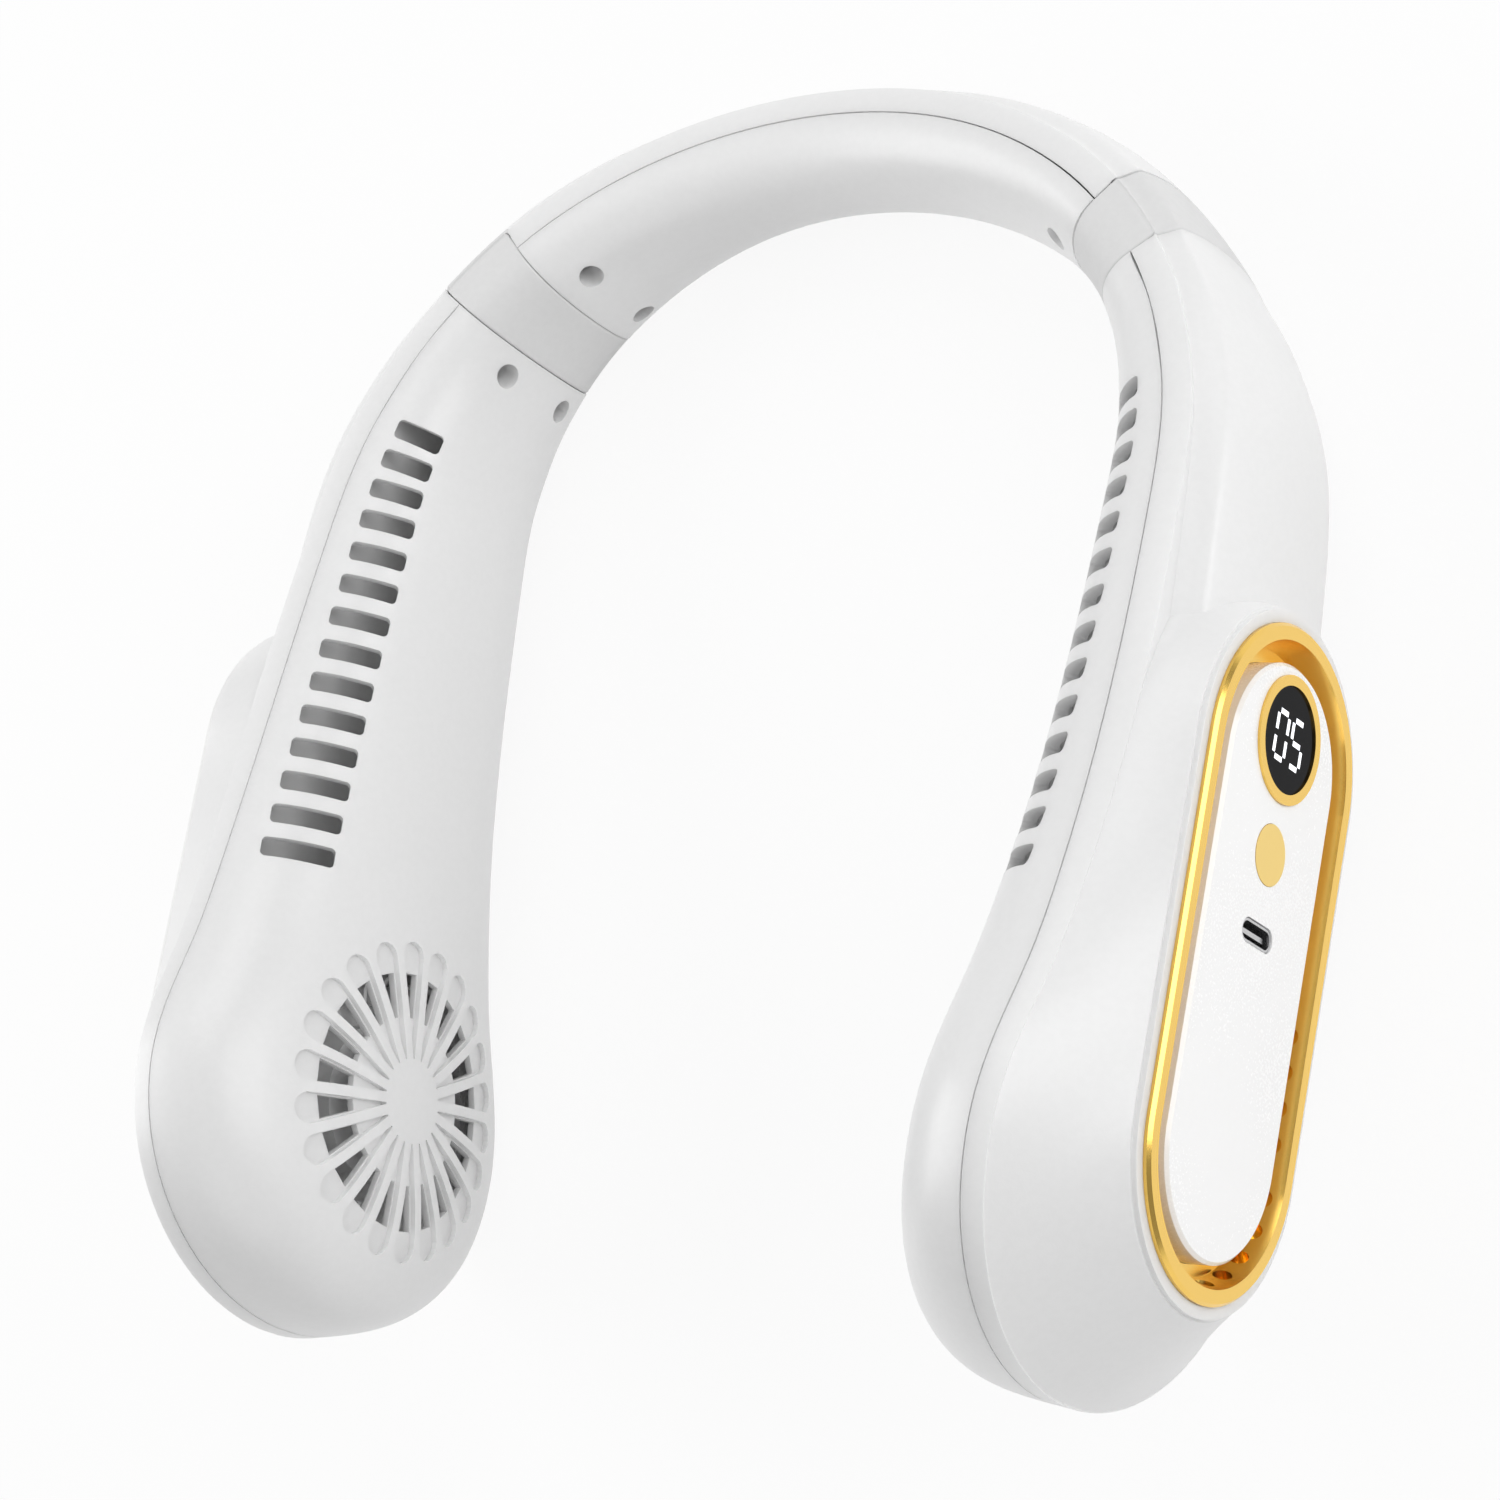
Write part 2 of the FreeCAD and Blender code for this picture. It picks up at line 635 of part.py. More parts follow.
# Centre panel: a shallow cap, plain on the left arm and with the controls' openings on the right
panel = stadium(PANEL_RADIUS, POD_LENGTH, -POD_DEPTH, -0.5).fuse(
    stadium(PANEL_RADIUS, POD_LENGTH, -0.5, 0.0, 0.0, PANEL_RADIUS - 0.5))
panel = panel.cut(stadium(PANEL_RADIUS - 1.5, POD_LENGTH, -POD_DEPTH - 1, -PANEL_PLATE))
left_panel = panel
LENS_SEAT = -1.0
control_panel = panel.cut(cylinder(DISPLAY_RADIUS + 0.03, LENS_SEAT, 1, DISPLAY_AT))
control_panel = control_panel.cut(cylinder(LENS_RADIUS - 0.7, -PANEL_PLATE - 1, 1, DISPLAY_AT))
control_panel = control_panel.cut(cylinder(BUTTON_RADIUS + 0.06, -PANEL_PLATE - 1, 1, BUTTON_AT))
usb_slot = stadium(USB_HEIGHT / 2 + 0.15, USB_LENGTH - USB_HEIGHT, -PANEL_PLATE - 1, 1)
usb_slot = turned(usb_slot, 90).translated(V(USB_AT, 0, 0))
control_panel = control_panel.cut(usb_slot)
nodes["right_centre_panel"] = on_pod(control_panel)

bezel = tube(DISPLAY_RADIUS, LENS_RADIUS + 0.03, LENS_SEAT, 0.4).translated(V(DISPLAY_AT, 0, 0))
nodes["display_bezel"] = on_pod(bezel)

# Two seven-segment digits, read with the arm's upper end at the top
DIGIT_W, DIGIT_H, BAR = 3.2, 6.6, 0.75
lit = {"0": "abcdef", "5": "acdfg"}
bars = []
for digit, mid in (("0", 2.35), ("5", -2.35)):
    w, h, t = DIGIT_W / 2, DIGIT_H / 2, BAR / 2
    spots = {"a": (h, 0), "d": (-h, 0), "g": (0, 0), "f": (h / 2, w), "b": (h / 2, -w),
             "e": (-h / 2, w), "c": (-h / 2, -w)}
    for name in lit[digit]:
        x, y = spots[name]
        if name in "adg":
            bars.append((x - t, x + t, y + mid - w + t + 0.12, y + mid + w - t - 0.12))
        else:
            bars.append((x - h / 2 + t + 0.12, x + h / 2 - t - 0.12, y + mid - t, y + mid + t))
slots = [block(DISPLAY_AT + a - 0.02, DISPLAY_AT + b + 0.02, c - 0.02, d + 0.02, LENS_SEAT - 1, 1)
         for a, b, c, d in bars]
lens = cylinder(LENS_RADIUS, LENS_SEAT, 0.1, DISPLAY_AT).cut(Part.makeCompound(slots))
nodes["display_lens"] = on_pod(lens)
segments = [block(DISPLAY_AT + a, DISPLAY_AT + b, c, d, LENS_SEAT, 0.12) for a, b, c, d in bars]
nodes["display_segments"] = on_pod(Part.makeCompound(segments))
module = block(DISPLAY_AT - 4.6, DISPLAY_AT + 4.6, -4.9, 4.9, BOARD_TOP, LENS_SEAT - 0.02)
nodes["display_module"] = on_pod(module)

# Power button with its retaining flange and stem, over the switch on the board
flange_top = -PANEL_PLATE - 0.05
button = cylinder(BUTTON_RADIUS, flange_top - 0.9, 0.1, BUTTON_AT).fuse(
    cylinder(BUTTON_RADIUS + 0.9, flange_top - 0.9, flange_top, BUTTON_AT)).fuse(
    cylinder(1.6, -POD_DEPTH, flange_top - 0.8, BUTTON_AT))
nodes["power_button"] = on_pod(button.removeSplitter())
switch_top = flange_top - 0.9 - BUTTON_TRAVEL - 0.5
switch = block(BUTTON_AT - 3, BUTTON_AT + 3, -3, 3, BOARD_TOP, switch_top)
switch = switch.cut(cylinder(1.75, -POD_DEPTH - BUTTON_TRAVEL - 0.15, 1, BUTTON_AT))
nodes["power_switch"] = on_pod(switch)

# Charging socket standing on the board
half = USB_HEIGHT / 2
shell = stadium(half, USB_LENGTH - USB_HEIGHT, BOARD_TOP, -0.2)
shell = shell.cut(stadium(half - 0.35, USB_LENGTH - USB_HEIGHT, BOARD_TOP + 1.2, 1))
shell = shell.fuse(block(-3.35, 3.35, -0.35, 0.35, BOARD_TOP + 1.0, -0.9))
nodes["usb_port"] = on_pod(turned(shell.removeSplitter(), 90).translated(V(USB_AT, 0, 0)))
board = block(USB_AT - 10.0, DISPLAY_AT + 9.2, -10.5, 10.5, BOARD_TOP - 1.25, BOARD_TOP - 0.02)
nodes["main_board"] = on_pod(board)

# Divider between the air side and the electronics, and the battery on it
DIV_IN, DIV_OUT = 1.6, 0.1
divider_wires = []
div_from = ARM_SCREW_AT + 5.0
div_places = [div_from + (PADDLE_REACH - div_from) * i / 14 for i in range(15)]
div_places += [PADDLE_REACH + (TIP_LENGTH - WALL) * math.sin(math.radians(a)) for a in (11, 22, 33, 43, 53)]
for s in div_places:
    k = half_height(s, WALL) - 0.5
    divider_wires.append(wire([at(s, -DIV_OUT, -k)], [at(s, -DIV_OUT, k)], [at(s, -DIV_IN, k)],
                              [at(s, -DIV_IN, -k)]))
nodes["right_divider"] = loft(divider_wires)
BATTERY_S = reach(0.77)
battery = block(-22, 22, -13.5, 13.5, -5.9, -0.3)
nodes["right_battery"] = across(battery, BATTERY_S)

# Blower: mount, bearing and stator stand on the divider; bell, magnet and impeller turn
base = DIV_IN + 0.15
mount = cylinder(10.0, base, base + 1.5).fuse(cylinder(3.95, base, base + 8.4))
mount = mount.cut(cylinder(2.6, base + 0.6, base + 20))
nodes["right_motor_mount"] = across(mount, FAN_S)
nodes["right_bearing"] = across(tube(2.57, SHAFT_RADIUS + 0.05, base + 0.6, base + 8.4), FAN_S)
stator = tube(8.0, 3.98, base + 1.9, base + 7.9)
teeth = [turned(block(5.0, 9.0, -0.5, 0.5, base, base + 10), 40 * i) for i in range(9)]
nodes["right_stator"] = across(stator.cut(Part.makeCompound(teeth)), FAN_S)
shaft = cylinder(SHAFT_RADIUS, base + 0.7, base + 10.4)
nodes["right_shaft"] = across(shaft, FAN_S)
bell = cylinder(11.0, base + 2.6, base + 10.0).cut(cylinder(9.9, base, base + 8.8))
bell = bell.cut(cylinder(SHAFT_RADIUS + 0.02, base, base + 20))
nodes["right_rotor_bell"] = across(bell, FAN_S)
nodes["right_rotor_magnet"] = across(tube(9.88, 8.5, base + 2.8, base + 8.2), FAN_S)
hub = cylinder(12.2, base + 2.8, base + 11.6).cut(cylinder(11.03, base, base + 10.03))
hub = hub.cut(cylinder(SHAFT_RADIUS + 0.02, base, base + 10.5))
disc = tube(IMPELLER_RADIUS, 12.0, base + 2.8, base + 3.8)
front = tube(IMPELLER_RADIUS, IMPELLER_RADIUS - 1.5, base + 10.0, base + 10.9)
blade_bits = [hub, disc, front]
for i in range(IMPELLER_BLADES):
    up, down = [], []
    for j in range(5):
        t = j / 4.0
        r = 15.5 + (IMPELLER_RADIUS - 0.3 - 15.5) * t
        a = 0.42 * t * t
        up.append((r * math.cos(a) - 0.4 * math.sin(a), r * math.sin(a) + 0.4 * math.cos(a)))
        down.append((r * math.cos(a) + 0.4 * math.sin(a), r * math.sin(a) - 0.4 * math.cos(a)))
    blade = polygon_prism(up + down[::-1], base + 3.5, base + 10.5)
    blade_bits.append(turned(blade, 360.0 * i / IMPELLER_BLADES))
nodes["right_impeller"] = across(fused(blade_bits), FAN_S)

# Hinge under the sleeve: fork on the band, tongue on the arm and a pin along Z
PIVOT_S = BAND_REACH + SLEEVE_LENGTH / 2
EAR_TOP = TONGUE_HALF + 0.3 + 3.6


def at_pivot(shape):
    p = along(PIVOT_S)[2]
    return placed(shape, at(PIVOT_S, -PIVOT_IN, 0), V(math.cos(p), -math.sin(p), 0),
                  V(math.sin(p), math.cos(p), 0))


def lug(x0, x1, z0, z1):
    r = KNUCKLE_RADIUS
    return cylinder(r, z0, z1).fuse(block(x0, x1, -r, r, z0, z1)).removeSplitter()


band_plug = plug_form(BAND_REACH - 2.5, BAND_REACH - 0.1, WALL + 0.45)
arm_plug = plug_form(ARM_START + 0.1, ARM_START + 1.2, WALL + 0.45)
lug_run = SLEEVE_LENGTH / 2 + 0.6
ears = [lug(-lug_run, 0, z, z + 3.6) for z in (TONGUE_HALF + 0.3, -EAR_TOP)]
pin_hole = cylinder(PIN_RADIUS + 0.02, -30, 30)
fork = fused([band_plug] + [at_pivot(e) for e in ears]).cut(at_pivot(pin_hole))
nodes["right_hinge_fork"] = fork
tongue = lug(0, lug_run, -TONGUE_HALF, TONGUE_HALF).cut(cylinder(PIN_RADIUS + 0.06, -30, 30))
nodes["right_hinge_tongue"] = fused([arm_plug, at_pivot(tongue)])
nodes["right_hinge_pin"] = at_pivot(cylinder(PIN_RADIUS, -EAR_TOP, EAR_TOP))


def sleeve_wire(s, inset):
    if inset:
        return wire(inner_curve(s, inset, 0.0), hollow_curve(s, inset))
    return wire(inner_curve(s, 0.0, 0.0), outer_curve(s))


sleeve_stations = [BAND_REACH + 0.1 + (SLEEVE_LENGTH - 0.2) * f for f in (0, 0.33, 0.67, 1)]
sleeve = loft([sleeve_wire(s, 0.0) for s in sleeve_stations])
bore_stations = [BAND_REACH - 1 + (SLEEVE_LENGTH + 2) * f for f in (0, 0.33, 0.67, 1)]
nodes["right_sleeve"] = sleeve.cut(loft([sleeve_wire(s, SLEEVE_WALL) for s in bore_stations]))

nodes["right_arm_screws"] = Part.makeCompound([screw(ARM_SCREW_AT, z) for z in (-SCREW_Z, SCREW_Z)])

# The left side mirrors the right one, with its own plain panel and closed deck
for name in list(nodes):
    if name.startswith("right_"):
        source = nodes[name]
        if name == "right_arm_outer_cover":
            source = left_outer_cover
        elif name == "right_centre_panel":
            source = on_pod(left_panel)
        nodes["left_" + name[6:]] = source.mirror(V(0, 0, 0), V(1, 0, 0))

# Band behind the neck
band_all = band_stations(BAND_REACH)
band_in = inner_form(band_all)
band_out = outer_form(band_all)
band_hollow_in = inner_hollow(band_stations(BAND_REACH + 1), WALL)
band_hollow_out = outer_hollow(band_stations(BAND_REACH + 1), WALL + 0.3)
band_places = [(s, z) for s in (-BAND_SCREW_AT, BAND_SCREW_AT) for z in (-SCREW_Z, SCREW_Z)]
band_tools = [screw_tools(s, z) for s, z in band_places]
for boss_in, boss_out, bore, pilot in band_tools:
    band_hollow_in = band_hollow_in.cut(boss_in)
    band_hollow_out = band_hollow_out.cut(boss_out)
band_in = band_in.cut(band_hollow_in)
band_out = band_out.cut(band_hollow_out)
for boss_in, boss_out, bore, pilot in band_tools:
    band_in = band_in.cut(bore)
    band_out = band_out.cut(pilot)
nodes["band_inner_cover"] = band_in
nodes["band_outer_cover"] = band_out
nodes["band_screws"] = Part.makeCompound([screw(s, z) for s, z in band_places])

# Lead that joins the two arms, lying in the band between the forks
LEAD_RADIUS = 1.3
LEAD_DEPTH = -2.0
lead_end = BAND_REACH - 2.6
lead_wires = []
for i in range(-10, 11):
    s = lead_end * i / 10.0
    x, y, p = along(s)
    c = Part.makeCircle(LEAD_RADIUS, at(s, LEAD_DEPTH, 0), V(math.cos(p), -math.sin(p), 0))
    lead_wires.append(Part.Wire([c]))
nodes["band_lead"] = loft(lead_wires)

# Lay the fan on its rest plane: it leans back until the band side and the paddles both touch
points = []
for name in nodes:
    if name.endswith("_cover") or name.endswith("ring") or name.endswith("panel"):
        points += [(q.x, q.y, q.z) for q in nodes[name].tessellate(0.1)[0]]
paddle_points = [q for q in points if q[1] < POD_Y]
upper_points = [q for q in points if q[1] >= POD_Y]
low, high = 0.0, math.radians(30)
for i in range(50):
    lean = (low + high) / 2
    c, k = math.cos(lean), math.sin(lean)
    if min(q[2] * c - q[1] * k for q in upper_points) > min(q[2] * c - q[1] * k for q in paddle_points):
        low = lean
    else:
        high = lean
c, k = math.cos(lean), math.sin(lean)
ys = [q[1] * c + q[2] * k for q in points]
zs = [q[2] * c - q[1] * k for q in points]
shift = V(0, -(min(ys) + max(ys)) / 2, -min(zs))

os.makedirs("parts", exist_ok=True)
for name in sorted(nodes):
    shape = nodes[name].rotated(V(0, 0, 0), V(1, 0, 0), -math.degrees(lean)).translated(shift)
    if len(shape.Solids) == 1:
        shape = shape.Solids[0]
    shape.exportStep("parts/" + name + ".step")
print("lean", math.degrees(lean), "shift", shift)
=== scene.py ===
# %% [markdown]
# # A fan worn round the neck
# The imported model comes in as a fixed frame: every solid is a mesh in metres, already in its
# place. This lesson dresses that frame. It sets up the camera and the light, makes one finish for
# each material of the real fan, and rebuilds the soft pieces that a rigid solid can only stand in
# for.

# %% Load the frame
import json
import math

import bpy
import numpy as np
from mathutils import Matrix, Vector


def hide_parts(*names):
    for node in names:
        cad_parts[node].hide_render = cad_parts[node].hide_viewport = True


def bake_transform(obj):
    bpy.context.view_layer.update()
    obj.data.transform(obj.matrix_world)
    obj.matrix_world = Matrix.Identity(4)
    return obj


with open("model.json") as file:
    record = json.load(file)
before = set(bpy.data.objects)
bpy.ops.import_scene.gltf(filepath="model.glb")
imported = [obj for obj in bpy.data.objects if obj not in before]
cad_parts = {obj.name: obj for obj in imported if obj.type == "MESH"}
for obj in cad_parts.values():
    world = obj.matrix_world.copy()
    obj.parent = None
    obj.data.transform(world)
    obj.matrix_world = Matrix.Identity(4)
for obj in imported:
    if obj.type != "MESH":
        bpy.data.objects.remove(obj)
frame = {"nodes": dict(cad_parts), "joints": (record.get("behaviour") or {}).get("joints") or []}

nodes = frame["nodes"]
joints = {joint["name"]: joint for joint in frame["joints"]}
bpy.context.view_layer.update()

# %% [markdown]
# ## The working frame
# A neck fan is drawn most easily along one curved line: over the nape, round the shoulder and
# down the arm. The solids were drawn that way with the line in a flat plane, and then laid on the
# table, where the fan leans back a little. The hinge pin of the right arm stands square to that
# plane, so its axis gives the lean, and its place, a little inside the line, gives the shift.
# Anything worked out along the line then lands on the solids.

# %% The centreline and the way to the table
MM = 0.001
CROWN_RADIUS, CROWN_ANGLE = 78.0, math.radians(35.7)
SHOULDER_RADIUS, SHOULDER_ANGLE = 67.0, math.radians(51.0)
ARM_RADIUS = 625.0
BAND_REACH, SLEEVE_LENGTH = 57.8, 12.9
PADDLE_REACH = 203.8
ARM_START = BAND_REACH + SLEEVE_LENGTH
CROWN_END = CROWN_RADIUS * CROWN_ANGLE
SHOULDER_END = CROWN_END + SHOULDER_RADIUS * SHOULDER_ANGLE


def along(s):
    """Three arcs that meet tangentially: x, y and the turned angle at path length s, in mm."""
    s = np.asarray(s, float)
    a, b = CROWN_ANGLE, CROWN_ANGLE + SHOULDER_ANGLE
    centre = (CROWN_RADIUS - SHOULDER_RADIUS) * np.array([math.sin(a), math.cos(a)])
    far = centre + (SHOULDER_RADIUS - ARM_RADIUS) * np.array([math.sin(b), math.cos(b)])
    crown, shoulder = s <= CROWN_END, s <= SHOULDER_END
    turn = np.where(crown, s / CROWN_RADIUS, np.where(
        shoulder, a + (s - CROWN_END) / SHOULDER_RADIUS, b + (s - SHOULDER_END) / ARM_RADIUS))
    radius = np.where(crown, CROWN_RADIUS, np.where(shoulder, SHOULDER_RADIUS, ARM_RADIUS))
    x0 = np.where(crown, 0.0, np.where(shoulder, centre[0], far[0]))
    y0 = np.where(crown, 0.0, np.where(shoulder, centre[1], far[1]))
    return x0 + radius * np.sin(turn), y0 + radius * np.cos(turn), turn


PIN_AXIS = joints["right_arm_flex"]["axis"]
LEAN = math.atan2(PIN_AXIS[1], PIN_AXIS[2])
LEAN_ROWS = np.array([[1, 0, 0], [0, math.cos(LEAN), math.sin(LEAN)],
                      [0, -math.sin(LEAN), math.cos(LEAN)]])
PIVOT_IN = 0.9
pin_x, pin_y, pin_turn = (float(value) for value in along(BAND_REACH + SLEEVE_LENGTH / 2))
pin_place = [pin_x - PIVOT_IN * math.sin(pin_turn), pin_y - PIVOT_IN * math.cos(pin_turn), 0.0]
SHIFT = np.array(joints["right_arm_flex"]["pos_m"]) - LEAN_ROWS @ np.array(pin_place) * MM


def to_table(points_mm):
    """Working points in mm turned by the lean, scaled to metres and moved by the shift."""
    return np.asarray(points_mm, float) @ LEAN_ROWS.T * MM + SHIFT


print("lean in degrees:", round(math.degrees(LEAN), 3), "shift:", SHIFT.round(5).tolist())

# %% [markdown]
# ## Camera
# The fan is seen from above and from the side with the controls, through a long lens that is
# rolled a little. Three angles, a distance and a focal length say all of that. They are given in
# the working frame, where they were fitted, and the lean takes them to the table.

# %% The camera
VIEW_AROUND, VIEW_ABOVE, VIEW_ROLL = 1.13382, 0.90369, 0.17981
VIEW_DISTANCE = 648.75
VIEW_TARGET = np.array([-0.914, -22.122, 0.0])
SENSOR = 36.0
PICTURE_WIDTH, FOCAL_PIXELS = 1500.0, 4308.0


def camera_axes(around, above, roll):
    """Right, up and backward unit vectors of a camera on a sphere, turned about its own axis."""
    back = np.array([math.sin(around) * math.cos(above), -math.cos(around) * math.cos(above),
                     math.sin(above)])
    right = np.cross([0.0, 1.0, 0.0], back)
    right /= np.linalg.norm(right)
    up = np.cross(back, right)
    c, k = math.cos(roll), math.sin(roll)
    return np.column_stack([right * c + up * k, up * c - right * k, back])


axes = LEAN_ROWS @ camera_axes(VIEW_AROUND, VIEW_ABOVE, VIEW_ROLL)
lens = bpy.data.cameras.new("photo_camera")
lens.sensor_width = SENSOR
lens.sensor_fit = "HORIZONTAL"
lens.lens = SENSOR * FOCAL_PIXELS / PICTURE_WIDTH
camera = bpy.data.objects.new("photo_camera", lens)
bpy.context.scene.collection.objects.link(camera)
camera_place = to_table(VIEW_TARGET) + axes[:, 2] * VIEW_DISTANCE * MM
pose = np.eye(4)
pose[:3, :3], pose[:3, 3] = axes, camera_place
camera.matrix_world = Matrix(pose.tolist())
bpy.context.scene.camera = camera
print("camera at", camera_place.round(4).tolist(), "lens", round(lens.lens, 2), "mm")

# %% [markdown]
# ## Shader maths as Python
# Materials read better as formulas than as a web of nodes. This class wraps a socket, so that
# ordinary operators add Math nodes, and one method adds any other node.


# %% Sockets with operators
class Wire:
    """A node socket that can be added, multiplied and so on."""

    def __init__(self, tree, socket):
        self.tree, self.socket = tree, socket

    def node(self, kind, settings=None, **inputs):
        """A node of the given type: its settings first, then values or links for its sockets."""
        made = self.tree.nodes.new(kind)
        for name, value in (settings or {}).items():
            setattr(made, name, value)
        for name, value in inputs.items():
            numbered = name[0] == "i" and name[1:].isdigit()
            key = int(name[1:]) if numbered else name.replace("_", " ")
            join(self.tree, made.inputs[key], value)
        return made

    def out(self, kind, settings=None, port=0, **inputs):
        """One output of a new node, as a wire."""
        return Wire(self.tree, self.node(kind, settings, **inputs).outputs[port])

    def math(self, operation, *values):
        """A Math node on wires and numbers."""
        ins = {"i%d" % i: value for i, value in enumerate(values)}
        return self.out("ShaderNodeMath", {"operation": operation}, **ins)

    def __add__(self, other):
        return self.math("ADD", self, other)

    def __radd__(self, other):
        return self.math("ADD", other, self)

    def __sub__(self, other):
        return self.math("SUBTRACT", self, other)

    def __rsub__(self, other):
        return self.math("SUBTRACT", other, self)

    def __mul__(self, other):
        return self.math("MULTIPLY", self, other)

    def __rmul__(self, other):
        return self.math("MULTIPLY", other, self)

    def step(self, low, high):
        """0 below low, 1 above high and a smooth rise between them."""
        return self.out("ShaderNodeMapRange", {"interpolation_type": "SMOOTHSTEP"}, Value=self,
                        From_Min=low, From_Max=high)

    def tint(self, first, second):
        """A colour that goes from first to second as this value goes from 0 to 1."""
        return self.out("ShaderNodeMix", {"data_type": "RGBA"}, 2, i0=self, i6=first, i7=second)


def join(tree, socket, value):
    """Links a wire to a socket, or sets the socket's own value."""
    if isinstance(value, Wire):
        tree.links.new(value.socket, socket)
    else:
        socket.default_value = value


def finish(name, **constants):
    """A new material with a Principled shader; constants go straight on its sockets."""
    material = bpy.data.materials.new(name)
    material.use_nodes = True
    tree = material.node_tree
    shader = tree.nodes["Principled BSDF"]
    for key, value in constants.items():
        shader.inputs[key.replace("_", " ")].default_value = value
    place = tree.nodes.new("ShaderNodeTexCoord")
    return material, shader, Wire(tree, place.outputs["Object"])


def feed(shader, **wires):
    """Links wires to the shader's sockets by name."""
    for key, wire in wires.items():
        join(wire.tree, shader.inputs[key.replace("_", " ")], wire)


def noise(place, scale, detail=3.0):
    """Noise with about scale cells to the metre."""
    return place.out("ShaderNodeTexNoise", Vector=place, Scale=scale, Detail=detail)


def bumped(height, strength, distance):
    """A normal that leans with the height, up to distance in metres."""
    return height.out("ShaderNodeBump", Height=height, Strength=strength, Distance=distance)


print("shader helpers ready")

# %% [markdown]
# ## Light and table
# A white object on white is shown by broad, soft panels that leave the faces between them a
# little darker: the shapes then read in pale greys. The strongest panels stand low on either
# side, and the sky only lifts the shadows. The table is a plain pale sheet. To the camera, and in
# the gold's reflections, it is close to white, but it keeps a soft shadow under the fan.

# %% Lamps, sky and table
def lamp(name, place, target, size, power):
    """A square area lamp at place that looks at target."""
    data = bpy.data.lights.new(name, "AREA")
    data.size, data.energy = size, power
    thing = bpy.data.objects.new(name, data)
    bpy.context.scene.collection.objects.link(thing)
    thing.location = place
    thing.rotation_euler = (Vector(target) - Vector(place)).to_track_quat("-Z", "Y").to_euler()


FAN_MIDDLE = (0.0, 0.0, 0.03)
LAMP_SIZE, SKY_STRENGTH = 0.7, 0.3
for lamp_name, lamp_place, lamp_power in (
        ("key_panel", (0.9, 0.3, 0.45), 4.7), ("nape_panel", (0.1, 0.8, 0.7), 3.3),
        ("front_panel", (0.3, -0.8, 0.6), 1.9), ("side_panel", (-0.8, 0.0, 0.6), 5.0)):
    lamp(lamp_name, lamp_place, FAN_MIDDLE, LAMP_SIZE, lamp_power)

world = bpy.data.worlds.new("studio")
bpy.context.scene.world = world
world.use_nodes = True
sky = world.node_tree.nodes["Background"]
sky.inputs["Color"].default_value = (1.0, 1.0, 1.0, 1.0)
sky.inputs["Strength"].default_value = SKY_STRENGTH

TABLE_HALF, PALE_SHARE = 3.0, 0.9
table_mesh = bpy.data.meshes.new("table_top")
table_corners = np.array([[-1, -1, 0], [1, -1, 0], [1, 1, 0], [-1, 1, 0]], float) * TABLE_HALF
table_mesh.from_pydata(table_corners.tolist(), [], [[0, 1, 2, 3]])
table = bpy.data.objects.new("table_top", table_mesh)
bpy.context.scene.collection.objects.link(table)
table_finish, table_shader, table_place = finish("table_white", Roughness=0.8)
table_shader.inputs["Base Color"].default_value = (0.85, 0.85, 0.85, 1.0)
tree = table_finish.node_tree
rays = table_place.node("ShaderNodeLightPath")
seen = Wire(tree, rays.outputs["Is Camera Ray"])
for port in ("Is Glossy Ray", "Is Transmission Ray"):
    seen = seen.math("MAXIMUM", seen, Wire(tree, rays.outputs[port]))
glow = table_place.node("ShaderNodeEmission")
glow.inputs["Strength"].default_value = 1.0
sheet_mix = seen.node("ShaderNodeMixShader", None, i0=seen * PALE_SHARE,
                      i1=Wire(tree, table_shader.outputs[0]), i2=Wire(tree, glow.outputs[0]))
tree.links.new(sheet_mix.outputs[0], tree.nodes["Material Output"].inputs["Surface"])
table_mesh.materials.append(table_finish)
print("lamps:", len(bpy.data.lights), "table half width in m:", TABLE_HALF)

# %% [markdown]
# ## White mouldings
# The covers are satin plastic from a spark-eroded mould: a fine, even grain that softens the
# light, a slow and faint change of tone over a large moulding, and a gloss that wanders a little
# with it. The grain could be an image, but a fine noise in the normal holds at every distance.
# White plastic also lets light a few millimetres in, which lifts the shade in the vents and
# softens the seams: that is what the shader's subsurface part is for. The oval panel comes from a
# polished mould, so the same formula gets almost no grain and a clear lacquer.

# %% Plastic finishes
def dress(names, material):
    """Gives CAD nodes one material."""
    for name in names:
        data = nodes[name].data
        data.materials.clear()
        data.materials.append(material)


SIDES = ("left_", "right_")


def both(*names):
    """The names of the same pieces on the left and on the right arm."""
    return [side + name for side in SIDES for name in names]


def shade(colour, share):
    """A colour as four numbers, dimmed to a share of itself."""
    return [share * c for c in colour] + [1.0]


CLOUD_SCALE, SPECK_SCALE, GRAIN_HEIGHT = 22.0, 900.0, 0.00004
CLOUD_TONE, SPECK_TONE = 0.7, 0.3
CLOUD_GLOSS, GRAIN_GLOSS = 0.10, 0.08


def moulded(name, colour, rough, grain, low=0.965, grain_size=2600.0, **constants):
    """Moulded plastic: colour * (low to 1) and gloss by slow noise, with grain in the normal."""
    material, shader, place = finish(name, **constants)
    slow, fine = noise(place, CLOUD_SCALE, 2.0), noise(place, grain_size, 2.0)
    speck = noise(place, SPECK_SCALE, 1.0).step(0.35, 0.65)
    tone = slow * CLOUD_TONE + speck * SPECK_TONE
    feed(shader, Base_Color=tone.tint(shade(colour, low), shade(colour, 1.0)),
         Roughness=(slow - 0.5) * CLOUD_GLOSS + (fine - 0.5) * GRAIN_GLOSS + rough,
         Normal=bumped(fine, grain, GRAIN_HEIGHT))
    return material


